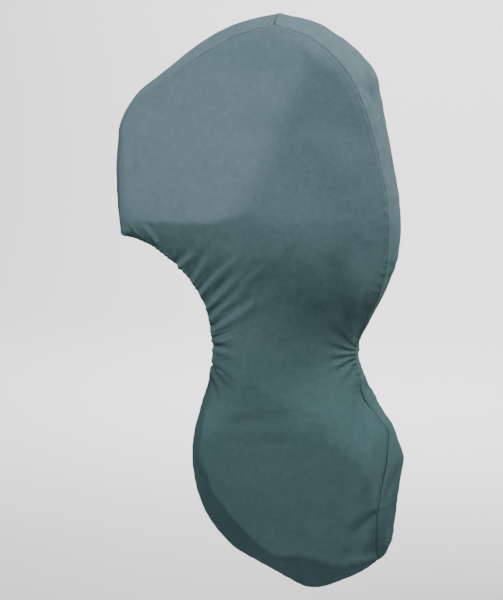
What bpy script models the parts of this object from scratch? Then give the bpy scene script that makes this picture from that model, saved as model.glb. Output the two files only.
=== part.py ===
"""Full-length fitted cover for an outboard motor, sewn from five pieces of coated polyester.

X runs aft, Y to starboard, Z up, in metres. The origin is under the top of the cover at the
cross seam, where the motor's cowl carries it. Each side panel is one cut of cloth, described
by how far it stands from the middle plane at each place in side view.
"""

import math
from collections import namedtuple

import bpy
import numpy as np

# Driving sizes
CLOTH = 0.002
GAP = 0.0003
KEEL_HALF = 0.0018
PANEL_COLUMNS = 28
BAND_COLUMNS = 6
ROWS_PER_METRE = 22
EDGE_STRETCHES = 84
SHARP_ANGLE = math.radians(35)

# The two long edges of a side panel in side view, from the crown down. A rib joins the front
# and aft edges straight across the panel, and its number says where it meets each of them.
# Half width is how far the edge is held from the middle plane, and opens is how fast the cloth
# may widen away from it. Crown is how far the band beside the edge bulges past it.
Edge = namedtuple("Edge", "rib x z half_width opens crown corner")
FRONT_EDGE = (
    Edge(0.00, -0.0127, -0.035, 0.165, 1.20, 0.041, True),
    Edge(0.28, -0.117, -0.062, 0.160, 1.20, 0.046, False),
    Edge(0.55, -0.230, -0.118, 0.155, 1.20, 0.046, False),
    Edge(0.85, -0.376, -0.212, 0.150, 1.20, 0.034, False),
    Edge(1.00, -0.433, -0.254, 0.150, 1.20, 0.030, False),
    Edge(1.15, -0.468, -0.318, 0.155, 1.20, 0.036, False),
    Edge(1.50, -0.479, -0.450, 0.175, 1.20, 0.042, False),
    Edge(2.00, -0.469, -0.662, 0.205, 1.00, 0.038, True),
    Edge(2.30, -0.350, -0.712, 0.222, 0.70, 0.000, False),
    Edge(2.55, -0.265, -0.790, 0.205, 0.60, 0.000, False),
    Edge(2.78, -0.218, -0.880, 0.180, 0.60, 0.000, False),
    Edge(3.00, -0.204, -0.975, 0.160, 0.60, 0.000, False),
    Edge(3.50, -0.216, -1.090, 0.125, 0.80, 0.000, False),
    Edge(3.80, -0.238, -1.155, 0.070, 1.60, 0.000, False),
    Edge(4.00, -0.261, -1.201, KEEL_HALF, 3.60, 0.000, True),
    Edge(4.50, -0.291, -1.320, KEEL_HALF, 4.20, 0.000, False),
    Edge(5.00, -0.293, -1.430, KEEL_HALF, 2.90, 0.000, False),
    Edge(5.30, -0.277, -1.510, KEEL_HALF, 2.40, 0.000, False),
    Edge(5.70, -0.231, -1.605, KEEL_HALF, 1.90, 0.000, False),
    Edge(6.00, -0.170, -1.674, KEEL_HALF, 1.60, 0.000, False),
    Edge(6.45, -0.050, -1.742, KEEL_HALF, 1.20, 0.000, False),
    Edge(7.00, 0.070, -1.803, KEEL_HALF, 1.05, 0.000, True),
    Edge(7.40, 0.118, -1.803, KEEL_HALF, 1.05, 0.000, True),
)
AFT_EDGE = (
    Edge(0.00, -0.0115, -0.035, 0.165, 1.20, 0.041, True),
    Edge(0.30, 0.092, -0.070, 0.175, 1.20, 0.046, False),
    Edge(0.65, 0.190, -0.155, 0.175, 1.20, 0.058, False),
    Edge(0.85, 0.229, -0.215, 0.170, 1.20, 0.062, False),
    Edge(1.00, 0.252, -0.262, 0.166, 1.20, 0.046, False),
    Edge(1.25, 0.283, -0.358, 0.158, 1.20, 0.033, False),
    Edge(1.50, 0.307, -0.455, 0.150, 1.20, 0.029, False),
    Edge(1.80, 0.327, -0.570, 0.143, 1.20, 0.030, False),
    Edge(2.00, 0.329, -0.665, 0.138, 1.20, 0.032, False),
    Edge(2.50, 0.305, -0.830, 0.110, 1.00, 0.014, False),
    Edge(2.90, 0.233, -1.002, 0.045, 0.55, 0.002, True),
    Edge(3.10, 0.232, -1.050, 0.045, 0.55, 0.002, True),
    Edge(3.60, 0.251, -1.112, 0.046, 0.70, 0.004, False),
    Edge(4.00, 0.279, -1.180, 0.048, 0.90, 0.004, False),
    Edge(4.40, 0.337, -1.268, 0.052, 0.90, 0.012, True),
    Edge(4.70, 0.333, -1.360, 0.085, 1.10, 0.044, True),
    Edge(5.00, 0.318, -1.450, 0.115, 1.20, 0.050, False),
    Edge(5.50, 0.304, -1.575, 0.115, 1.20, 0.050, False),
    Edge(5.80, 0.302, -1.650, 0.060, 1.30, 0.034, False),
    Edge(6.00, 0.300, -1.706, KEEL_HALF, 1.60, 0.003, True),
    Edge(6.30, 0.262, -1.737, KEEL_HALF, 1.35, 0.000, False),
    Edge(7.00, 0.118, -1.803, KEEL_HALF, 1.05, 0.000, True),
)
PANEL_FIRST_RIB = 0.03
OPENING_RIB = 2.0
WAIST_RIB = 3.0
WAIST_SEAM = 0.003
TAIL_RIB = 5.985

# How squarely a band bulges between its two seams, and how far along its seam, in ribs, its
# outward direction is taken from.
BULGE_POWER = 2.2
BAND_RUN = 0.12

# Ribs that lie along a crease, a corner or the end of a piece, between which rows are even.
MAIN_RIBS = (0, 1, 1.86, 1.90, 2, 3, 4, 4.4, 4.7, 5, TAIL_RIB, 7)

# The flat facets that the taut cloth lies in: a place in side view, the half width there, and
# how the half width changes for each metre aft and each metre up.
Facet = namedtuple("Facet", "x z half_width per_aft per_up")
COWL_FRONT = Facet(-0.095, -0.612, 0.290, 0.213, -0.241)
COWL_AFT = Facet(-0.095, -0.612, 0.290, -0.357, -0.011)
UNDER_FRONT = Facet(-0.095, -0.612, 0.290, 0.205, 0.250)
UNDER_AFT = Facet(-0.095, -0.612, 0.290, -0.290, 0.130)
LOWER_LOBE = Facet(0.000, -1.350, 0.182, -0.130, 0.020)
COWL_BOTTOM = -0.70
LOBE_TOP = -1.10

# How softly the cloth turns from one facet to the next, and away from a seam.
COWL_CREASE = 0.030
UNDER_CREASE = 0.050
COWL_EDGE = 0.012
SEAM_CREASE = 0.040

# Folds that run across a facet, from one place in side view to another. Rise is outward and
# a negative rise is a trough. Side says which panel has the fold: -1 port, 1 starboard. A fold
# begins at a part of its height, FOLD_START, and dies away at its end.
FOLD_START = 0.12
FOLD_TAPER = 0.8
FOLD_SPREAD = 2
Fold = namedtuple("Fold", "side x0 z0 x1 z1 width rise")
FOLDS = (
    Fold(-1, 0.228, -0.975, 0.180, -0.680, 0.050, -0.016),
    Fold(-1, 0.236, -0.940, 0.275, -0.720, 0.040, 0.006),
    Fold(-1, 0.200, -0.960, 0.060, -0.840, 0.034, -0.007),
    Fold(-1, 0.195, -1.020, 0.040, -1.010, 0.030, -0.006),
    Fold(-1, 0.215, -1.060, 0.040, -1.190, 0.040, -0.009),
    Fold(-1, 0.236, -1.080, 0.200, -1.300, 0.040, -0.008),
    Fold(-1, -0.185, -0.930, 0.010, -0.670, 0.034, 0.009),
    Fold(-1, -0.165, -0.945, -0.020, -0.830, 0.026, -0.006),
    Fold(-1, -0.205, -0.870, -0.075, -0.660, 0.028, 0.008),
    Fold(-1, -0.255, -0.790, -0.185, -0.650, 0.024, 0.008),
    Fold(-1, -0.190, -1.000, -0.060, -1.015, 0.026, -0.009),
    Fold(-1, -0.205, -1.090, -0.120, -1.180, 0.026, -0.008),
    Fold(-1, -0.090, -1.240, 0.160, -1.215, 0.045, -0.007),
    Fold(-1, 0.205, -1.330, 0.185, -1.560, 0.050, -0.010),
    Fold(-1, 0.265, -1.330, 0.250, -1.540, 0.036, 0.006),
    Fold(-1, 0.305, -1.535, 0.215, -1.600, 0.026, -0.011),
    Fold(1, 0.225, -0.985, 0.140, -0.700, 0.054, -0.014),
    Fold(1, 0.205, -1.040, 0.010, -1.130, 0.040, -0.009),
    Fold(1, 0.236, -1.080, 0.240, -1.270, 0.036, -0.008),
    Fold(1, -0.185, -0.950, 0.050, -0.720, 0.036, 0.009),
    Fold(1, -0.225, -0.840, -0.130, -0.670, 0.028, 0.008),
    Fold(1, -0.300, -0.745, -0.250, -0.650, 0.024, -0.007),
    Fold(1, -0.195, -1.040, -0.060, -1.090, 0.030, -0.009),
    Fold(1, -0.060, -1.230, 0.120, -1.290, 0.045, -0.007),
    Fold(1, 0.120, -1.330, 0.165, -1.560, 0.050, -0.010),
    Fold(1, -0.120, -1.360, 0.010, -1.540, 0.045, 0.008),
)


def edge_curve(rows, ribs):
    """x, z, half width, opens and crown of an edge at each rib, smooth but for its corners."""
    stations = np.array([row.rib for row in rows])
    values = np.array([row[1:6] for row in rows])
    steps = np.diff(stations)[:, None]
    slopes = np.diff(values, axis=0) / steps
    before = np.vstack([slopes[:1], slopes])
    after = np.vstack([slopes, slopes[-1:]])
    weight = np.concatenate([[1.0], steps[:, 0], [1.0]])
    smooth = (before * weight[1:, None] + after * weight[:-1, None]) / (weight[1:] + weight[:-1])[:, None]
    corner = np.array([row.corner for row in rows])[:, None]
    leaving = np.where(corner, after, smooth)
    arriving = np.where(corner, before, smooth)
    ribs = np.asarray(ribs, float)
    index = np.clip(np.searchsorted(stations, ribs, side="right") - 1, 0, len(rows) - 2)
    span = steps[index]
    t = ((ribs - stations[index])[:, None]) / span
    return (
        values[index] * (1 + 2 * t) * (1 - t) ** 2
        + values[index + 1] * t**2 * (3 - 2 * t)
        + leaving[index] * span * t * (1 - t) ** 2
        - arriving[index + 1] * span * t**2 * (1 - t)
    )


def soft_min(a, b, soft):
    """The lesser of two heights, with the crease between them rounded over soft."""
    blend = np.clip(0.5 + 0.5 * (b - a) / soft, 0, 1)
    return b * (1 - blend) + a * blend - soft * blend * (1 - blend)


def facet_half_width(facet, x, z):
    return facet.half_width + facet.per_aft * (x - facet.x) + facet.per_up * (z - facet.z)


def nearest_on(start, end, x, z):
    """Distance in side view from each place to a straight stretch, and how far along it that is."""
    run = end - start
    along = np.clip(((x - start[0]) * run[0] + (z - start[1]) * run[1]) / (run @ run), 0, 1)
    return np.hypot(x - start[0] - along * run[0], z - start[1] - along * run[1]), along


def edge_limit(edge, x, z):
    """The half width that an edge allows at each place, from the tightest stretch of it."""
    line = edge_curve(edge, np.linspace(edge[0].rib, edge[-1].rib, EDGE_STRETCHES + 1))
    limit = np.full_like(x, np.inf)
    for start, end in zip(line[:-1], line[1:]):
        distance, along = nearest_on(start[:2], end[:2], x, z)
        held = start[2] + along * (end[2] - start[2])
        opens = start[3] + along * (end[3] - start[3])
        limit = np.minimum(limit, held + opens * distance)
    return limit


def folds_on(side, x, z):
    """How far the folds of one side panel lift the cloth at each place."""
    total = np.zeros_like(x)
    for fold in FOLDS:
        if fold.side != side:
            continue
        start, end = np.array([fold.x0, fold.z0]), np.array([fold.x1, fold.z1])
        distance, along = nearest_on(start, end, x, z)
        across = np.exp(-((distance / fold.width) ** 2) * FOLD_SPREAD)
        ends = np.sin(math.pi * np.clip(FOLD_START + (1 - FOLD_START) * along, 0, 1)) ** FOLD_TAPER
        total += fold.rise * across * ends
    return total


def half_width(side, x, z):
    """How far a side panel stands from the middle plane at each place in side view."""
    x, z = np.asarray(x, float), np.asarray(z, float)
    cowl = soft_min(facet_half_width(COWL_FRONT, x, z), facet_half_width(COWL_AFT, x, z), COWL_CREASE)
    forward, aft = facet_half_width(UNDER_FRONT, x, z), facet_half_width(UNDER_AFT, x, z)
    under = soft_min(forward, aft, UNDER_CREASE)
    lobe = facet_half_width(LOWER_LOBE, x, z)
    down = np.clip((COWL_BOTTOM - z) / (COWL_BOTTOM - LOBE_TOP), 0, 1)
    below = under + (lobe - under) * down * down * (3 - 2 * down)
    width = soft_min(cowl, below, COWL_EDGE)
    width = width + folds_on(side, x, z)
    for edge in (FRONT_EDGE, AFT_EDGE):
        limit = edge_limit(edge, x, z)
        width = soft_min(width, limit, np.minimum(SEAM_CREASE, 0.5 * limit))
    return np.maximum(width, KEEL_HALF)


def rib_rows():
    """Ribs at about even steps down the cover, with the main ribs among them."""
    rows = [float(MAIN_RIBS[0])]
    for first, last in zip(MAIN_RIBS[:-1], MAIN_RIBS[1:]):
        aft, front = (edge_curve(edge, [first, last])[:, :2] for edge in (AFT_EDGE, FRONT_EDGE))
        length = max(np.linalg.norm(aft[1] - aft[0]), np.linalg.norm(front[1] - front[0]))
        count = max(1, round(length * ROWS_PER_METRE))
        rows += list(np.linspace(first, last, count + 1)[1:])
    return np.array(rows)


def add_grid(name, columns, rows):
    """A flat grid whose vertices run from 0 to 1 across and down, returned with those places."""
    bpy.ops.mesh.primitive_grid_add(x_subdivisions=columns, y_subdivisions=rows, size=1)
    grid = bpy.context.object
    grid.name = grid.data.name = name
    places = np.empty(len(grid.data.vertices) * 3)
    grid.data.vertices.foreach_get("co", places)
    places = places.reshape(-1, 3)
    return grid, places[:, 0] + 0.5, 0.5 - places[:, 1]


def finish_sheet(sheet, points, outward, material, collection):
    """Bends a grid to its points, faces it outward and gives it the thickness of the cloth."""
    sheet.data.vertices.foreach_set("co", points.ravel())
    sheet.data.update()
    middle = sheet.data.polygons[len(sheet.data.polygons) // 2]
    if np.dot(middle.normal, outward) < 0:
        sheet.data.flip_normals()
    shell = sheet.modifiers.new("Cloth", "SOLIDIFY")
    shell.thickness = CLOTH
    shell.offset = -1
    sheet.data.shade_smooth()
    sheet.data.set_sharp_from_angle(angle=SHARP_ANGLE)
    sheet.data.materials.append(material)
    for owner in list(sheet.users_collection):
        owner.objects.unlink(sheet)
    collection.objects.link(sheet)


def side_panel(name, side, material, collection):
    ribs = rib_rows()
    ribs[0] = PANEL_FIRST_RIB
    panel, across, down = add_grid(name, PANEL_COLUMNS, len(ribs) - 1)
    at = np.interp(down, np.linspace(0, 1, len(ribs)), ribs)
    front, aft = edge_curve(FRONT_EDGE, at), edge_curve(AFT_EDGE, at)
    x, z = (front + (aft - front) * across[:, None])[:, :2].T
    points = np.stack([x, side * half_width(side, x, z), z], axis=1)
    finish_sheet(panel, points, (0, side, 0), material, collection)


def band(name, edge, first, last, material, collection):
    """A gusset between the side panels, from one rib to another along one of their edges."""
    every = rib_rows()
    ribs = every[(every > first - 1e-9) & (every < last + 1e-9)]
    strip, across, down = add_grid(name, BAND_COLUMNS, len(ribs) - 1)
    if first == WAIST_RIB:
        ribs[0] += WAIST_SEAM
    at = np.interp(down, np.linspace(0, 1, len(ribs)), ribs)
    seam = edge_curve(edge, at)
    run = edge_curve(edge, np.minimum(at + BAND_RUN, last))
    run -= edge_curve(edge, np.maximum(at - BAND_RUN, first))
    turn = 1 if edge is AFT_EDGE else -1
    outward = turn * np.stack([-run[:, 1], run[:, 0]], axis=1)
    outward[at == 0] = (0, 1)
    outward /= np.linalg.norm(outward, axis=1)[:, None]
    port = half_width(-1, seam[:, 0], seam[:, 1]) - CLOTH - GAP
    starboard = half_width(1, seam[:, 0], seam[:, 1]) - CLOTH - GAP
    v = 2 * across - 1
    y = np.where(v < 0, v * port, v * starboard)
    bulge = seam[:, 4] * (1 - np.abs(v) ** BULGE_POWER)
    x = seam[:, 0] + outward[:, 0] * bulge
    z = seam[:, 1] + outward[:, 1] * bulge
    points = np.stack([x, y, z], axis=1)
    middle = len(points) // 2
    finish_sheet(strip, points, (outward[middle, 0], 0, outward[middle, 1]), material, collection)


def coated_polyester(name, colour):
    material = bpy.data.materials.new(name)
    material.use_nodes = True
    shader = material.node_tree.nodes["Principled BSDF"]
    shader.inputs["Base Color"].default_value = (*colour, 1)
    shader.inputs["Roughness"].default_value = 0.75
    shader.inputs["Metallic"].default_value = 0.0
    return material


def main():
    for thing in list(bpy.data.objects):
        bpy.data.objects.remove(thing, do_unlink=True)
    cover = bpy.data.collections.new("outboard_motor_cover")
    bpy.context.scene.collection.children.link(cover)
    panel_cloth = coated_polyester("panel cloth", (0.085, 0.150, 0.158))
    band_cloth = coated_polyester("band cloth", (0.092, 0.158, 0.166))
    side_panel("side_panel_port", -1, panel_cloth, cover)
    side_panel("side_panel_starboard", 1, panel_cloth, cover)
    band("upper_band_forward", FRONT_EDGE, 0, OPENING_RIB, band_cloth, cover)
    band("upper_band_aft", AFT_EDGE, 0, WAIST_RIB, band_cloth, cover)
    band("lower_band_aft", AFT_EDGE, WAIST_RIB, TAIL_RIB, band_cloth, cover)


main()
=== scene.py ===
# %% [markdown]
# # A fitted cover for an outboard motor
# The real cover is sewn from five flat cuts of coated polyester and pulled down over a motor
# that hangs on a boat's transom: two side panels, and three gusset bands that join them round
# the top and the back. This lesson makes each cut as one thin sheet, folds and gathers it,
# turns its edges under and then gives it cloth, thread and light.

# %% Load the imported model
import math
from collections import namedtuple

import bpy
import numpy as np
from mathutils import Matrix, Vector, noise
from numpy.linalg import norm


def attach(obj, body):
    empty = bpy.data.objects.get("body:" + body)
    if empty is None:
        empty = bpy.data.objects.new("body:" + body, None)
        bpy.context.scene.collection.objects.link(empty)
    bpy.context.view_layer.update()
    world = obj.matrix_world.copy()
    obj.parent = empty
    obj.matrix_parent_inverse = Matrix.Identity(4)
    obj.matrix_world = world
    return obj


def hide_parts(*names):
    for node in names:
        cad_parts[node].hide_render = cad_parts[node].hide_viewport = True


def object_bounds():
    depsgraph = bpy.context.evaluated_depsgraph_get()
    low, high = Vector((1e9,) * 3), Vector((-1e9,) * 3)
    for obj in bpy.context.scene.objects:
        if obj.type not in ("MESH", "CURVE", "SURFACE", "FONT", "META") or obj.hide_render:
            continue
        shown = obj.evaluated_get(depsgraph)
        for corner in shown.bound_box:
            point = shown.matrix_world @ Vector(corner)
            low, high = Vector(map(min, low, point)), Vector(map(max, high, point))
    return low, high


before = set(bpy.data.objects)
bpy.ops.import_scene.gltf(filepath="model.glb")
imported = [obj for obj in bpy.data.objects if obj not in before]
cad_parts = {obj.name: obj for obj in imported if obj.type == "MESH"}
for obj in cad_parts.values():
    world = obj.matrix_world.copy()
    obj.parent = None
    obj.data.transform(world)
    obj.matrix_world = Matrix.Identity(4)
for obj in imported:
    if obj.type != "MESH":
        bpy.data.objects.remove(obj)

bpy.ops.object.select_all(action="DESELECT")
cad_low, cad_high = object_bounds()
print("CAD box", [round(v, 3) for v in cad_low], [round(v, 3) for v in cad_high])

# %% [markdown]
# ## The two long edges of a panel
# Seen from the side, a panel lies between a front edge and an aft edge. Each row below is one
# place on an edge. A rib joins the two edges straight across, and its number says where it meets
# each of them. Half width is how far the edge is held from the middle plane, opens is how fast
# the cloth may widen away from it, and crown is how far the band beside it bulges.

# %% Edge rows
KEEL_HALF, SEAM_WAVER = 0.0005, 0.0006
Edge = namedtuple("Edge", "rib x z half_width opens crown corner", defaults=(0.0, False))
FRONT_EDGE = [Edge(*row) for row in (
    (0.00, -0.0127, -0.035, 0.165, 1.20, 0.041, True),
    (0.28, -0.117, -0.062, 0.160, 1.20, 0.046),
    (0.55, -0.230, -0.118, 0.155, 1.20, 0.046),
    (0.85, -0.376, -0.212, 0.150, 1.20, 0.034),
    (1.00, -0.433, -0.254, 0.150, 1.20, 0.030),
    (1.15, -0.468, -0.318, 0.155, 1.20, 0.036),
    (1.50, -0.479, -0.450, 0.175, 1.20, 0.042),
    (2.00, -0.469, -0.662, 0.205, 1.00, 0.038, True),
    (2.30, -0.350, -0.712, 0.222, 0.70),
    (2.55, -0.265, -0.790, 0.205, 0.60),
    (2.78, -0.218, -0.880, 0.180, 0.60),
    (3.00, -0.204, -0.975, 0.160, 0.60),
    (3.50, -0.216, -1.090, 0.125, 0.80),
    (3.80, -0.238, -1.155, 0.070, 1.60),
    (4.00, -0.261, -1.201, KEEL_HALF, 4.60, 0.000, True),
    (4.50, -0.291, -1.320, KEEL_HALF, 3.60),
    (5.00, -0.293, -1.430, KEEL_HALF, 2.25),
    (5.30, -0.277, -1.510, KEEL_HALF, 1.88),
    (5.70, -0.231, -1.605, KEEL_HALF, 1.56),
    (6.00, -0.170, -1.674, KEEL_HALF, 1.50),
    (6.45, -0.050, -1.742, KEEL_HALF, 1.72),
    (7.00, 0.074, -1.803, KEEL_HALF, 1.10),
    (7.40, 0.118, -1.803, KEEL_HALF, 1.15, 0.000, True),
)]
AFT_EDGE = [Edge(*row) for row in (
    (0.00, -0.0115, -0.035, 0.165, 1.20, 0.041, True),
    (0.30, 0.092, -0.070, 0.175, 1.20, 0.046),
    (0.65, 0.190, -0.155, 0.175, 1.20, 0.058),
    (0.85, 0.229, -0.215, 0.170, 1.20, 0.062),
    (1.00, 0.252, -0.262, 0.166, 1.20, 0.046),
    (1.25, 0.283, -0.358, 0.158, 1.20, 0.033),
    (1.50, 0.307, -0.455, 0.150, 1.20, 0.029),
    (1.80, 0.327, -0.570, 0.143, 1.20, 0.030),
    (2.00, 0.329, -0.665, 0.138, 1.20, 0.032),
    (2.50, 0.305, -0.830, 0.110, 1.00, 0.014),
    (2.90, 0.233, -1.002, 0.045, 0.55, 0.002, True),
    (3.10, 0.232, -1.050, 0.045, 0.55, 0.002, True),
    (3.60, 0.245, -1.113, 0.046, 0.70, 0.014),
    (4.00, 0.264, -1.181, 0.048, 0.90, 0.029),
    (4.20, 0.295, -1.222, 0.049, 0.90, 0.019),
    (4.40, 0.337, -1.268, 0.052, 0.90, 0.008, True),
    (4.70, 0.333, -1.360, 0.085, 1.10, 0.047, True),
    (5.00, 0.318, -1.450, 0.115, 1.20, 0.050),
    (5.50, 0.304, -1.575, 0.115, 1.20, 0.050),
    (5.80, 0.302, -1.650, 0.078, 1.80, 0.039),
    (5.92, 0.302, -1.687, 0.046, 2.30, 0.020),
    (6.00, 0.300, -1.706, KEEL_HALF, 2.70, 0.003, True),
    (6.30, 0.262, -1.737, KEEL_HALF, 2.20),
    (6.85, 0.142, -1.796, KEEL_HALF, 1.30),
    (7.00, 0.118, -1.803, KEEL_HALF, 1.15, 0.000, True),
)]
PANEL_FIRST_RIB, OPENING_RIB, WAIST_RIB, TAIL_RIB, LAST_RIB = 0.03, 2.0, 3.0, 5.985, 7.0
print(len(FRONT_EDGE), "rows down the front,", len(AFT_EDGE), "down the back")


# %% A smooth curve through the rows
def waver(ribs, often, seldom, start):
    """How far a seam guided by hand strays at each rib."""
    return SEAM_WAVER * np.sin(often * ribs + 2 * np.sin(seldom * ribs + start))


def edge_curve(rows, ribs):
    """x, z, half width, opens and crown at each rib: smooth through the rows, but for corners."""
    stations = np.array([row.rib for row in rows])
    values = np.array([row[1:6] for row in rows])
    steps = np.diff(stations)[:, None]
    slopes = np.diff(values, axis=0) / steps
    before = np.vstack([slopes[:1], slopes])
    after = np.vstack([slopes, slopes[-1:]])
    weight = np.concatenate([[1.0], steps[:, 0], [1.0]])[:, None]
    smooth = (before * weight[1:] + after * weight[:-1]) / (weight[1:] + weight[:-1])
    corner = np.array([row.corner for row in rows])[:, None]
    leaving, arriving = np.where(corner, after, smooth), np.where(corner, before, smooth)
    ribs = np.asarray(ribs, float)
    index = np.clip(np.searchsorted(stations, ribs, side="right") - 1, 0, len(rows) - 2)
    span = steps[index]
    t = (ribs - stations[index])[:, None] / span
    curve = (
        values[index] * (1 + 2 * t) * (1 - t) ** 2
        + values[index + 1] * t**2 * (3 - 2 * t)
        + leaving[index] * span * t * (1 - t) ** 2
        - arriving[index + 1] * span * t**2 * (1 - t)
    )
    curve[:, 0] += waver(ribs, 33, 11, 0)
    curve[:, 1] += waver(ribs, 29, 13, 1)
    return curve


crown_place, waist_place = edge_curve(AFT_EDGE, [0, WAIST_RIB])[:, :2].round(3)
print("crown at", crown_place, "waist at", waist_place)

# %% [markdown]
# ## Taut cloth lies in facets
# Pulled tight over a hard cowl, cloth makes nearly flat facets that meet in soft creases. So a
# panel's distance from the middle plane is the least of a few tilted planes and of what its
# edges allow, with each crease rounded.

# %% Facets and how they meet
Facet = namedtuple("Facet", "x z half_width per_aft per_up")
COWL_PEAK = (-0.108, -0.612, 0.290)
COWL_FRONT = Facet(*COWL_PEAK, 0.213, -0.262)
COWL_AFT = Facet(*COWL_PEAK, -0.357, -0.011)
UNDER_FRONT = Facet(*COWL_PEAK, 0.205, 0.250)
UNDER_AFT = Facet(*COWL_PEAK, -0.352, 0.115)
LOWER_LOBE = Facet(0.000, -1.350, 0.182, -0.130, 0.020)
EDGE_STRETCHES = 160
# how softly neighbouring facets meet, and how softly the cloth turns in at its edges
COWL_CREASE, UNDER_CREASE, LEVEL_CREASE = 0.026, 0.050, 0.0035
KEEL_SOFT, COWL_SOFT, LOBE_SOFT = 0.007, 0.029, 0.020
# heights where the cloth under the cowl turns into the lobe, and where the lobe starts and ends
UNDER_TOP, UNDER_FOOT, LOBE_STARTS, LOBE_ENDS = -0.70, -1.10, (-1.15, -1.25), (-1.46, -1.36)


def soft_min(a, b, soft):
    """The smaller of two values, rounded where they cross."""
    blend = np.clip(0.5 + 0.5 * (b - a) / soft, 0, 1)
    return b * (1 - blend) + a * blend - soft * blend * (1 - blend)


def ease(low, high, value):
    """0 at low, 1 at high, smooth between and level beyond."""
    t = np.clip((value - low) / (high - low), 0, 1)
    return t * t * (3 - 2 * t)


def within(low, full, sheen_and_fade, high, value):
    """0 below low and above high, 1 from full to fading, smooth between."""
    return ease(low, full, value) * (1 - ease(sheen_and_fade, high, value))


def facet_half_width(facet, x, z):
    return facet.half_width + facet.per_aft * (x - facet.x) + facet.per_up * (z - facet.z)


def nearest_on(start, end, x, z):
    """Distance in side view from each place to a straight stretch, and how far along it."""
    run = end - start
    along = np.clip(((x - start[0]) * run[0] + (z - start[1]) * run[1]) / (run @ run), 0, 1)
    return np.hypot(x - start[0] - along * run[0], z - start[1] - along * run[1]), along


def edge_limit(edge, x, z):
    """How far from the middle plane an edge lets the cloth stand at each place."""
    line = edge_curve(edge, np.linspace(edge[0].rib, edge[-1].rib, EDGE_STRETCHES + 1))
    limit = np.full_like(x, np.inf)
    for start, end in zip(line[:-1], line[1:]):
        distance, along = nearest_on(start[:2], end[:2], x, z)
        held = start[2] + along * (end[2] - start[2])
        opens = start[3] + along * (end[3] - start[3])
        limit = np.minimum(limit, held + opens * distance)
    return limit


def half_width(x, z):
    """How far the taut cloth stands from the middle plane at each place in side view."""
    cowl = soft_min(facet_half_width(COWL_FRONT, x, z), facet_half_width(COWL_AFT, x, z), COWL_CREASE)
    under = soft_min(facet_half_width(UNDER_FRONT, x, z), facet_half_width(UNDER_AFT, x, z), UNDER_CREASE)
    below = under + (facet_half_width(LOWER_LOBE, x, z) - under) * ease(UNDER_TOP, UNDER_FOOT, z)
    width = soft_min(cowl, below, LEVEL_CREASE)
    soft = KEEL_SOFT + COWL_SOFT * ease(LOBE_ENDS[0], UNDER_TOP, z)
    soft += LOBE_SOFT * ease(*LOBE_ENDS, z) * ease(*LOBE_STARTS, z)
    for edge in (FRONT_EDGE, AFT_EDGE):
        limit = edge_limit(edge, x, z)
        width = soft_min(width, limit, np.minimum(soft, 0.5 * limit))
    return np.maximum(width, KEEL_HALF)


print("widest", 2 * half_width(np.array([COWL_PEAK[0]]), np.array([COWL_PEAK[1]])).round(3), "m")

# %% [markdown]
# ## Main folds, placed by hand
# Each row is one soft trough (negative rise) or ridge, from a first place through a middle one
# to a last one. Folds that start at the drawn-in waist or at the gathered hem are held there:
# they are deepest at the start and fan out and die away. The others fade at both ends.

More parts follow.
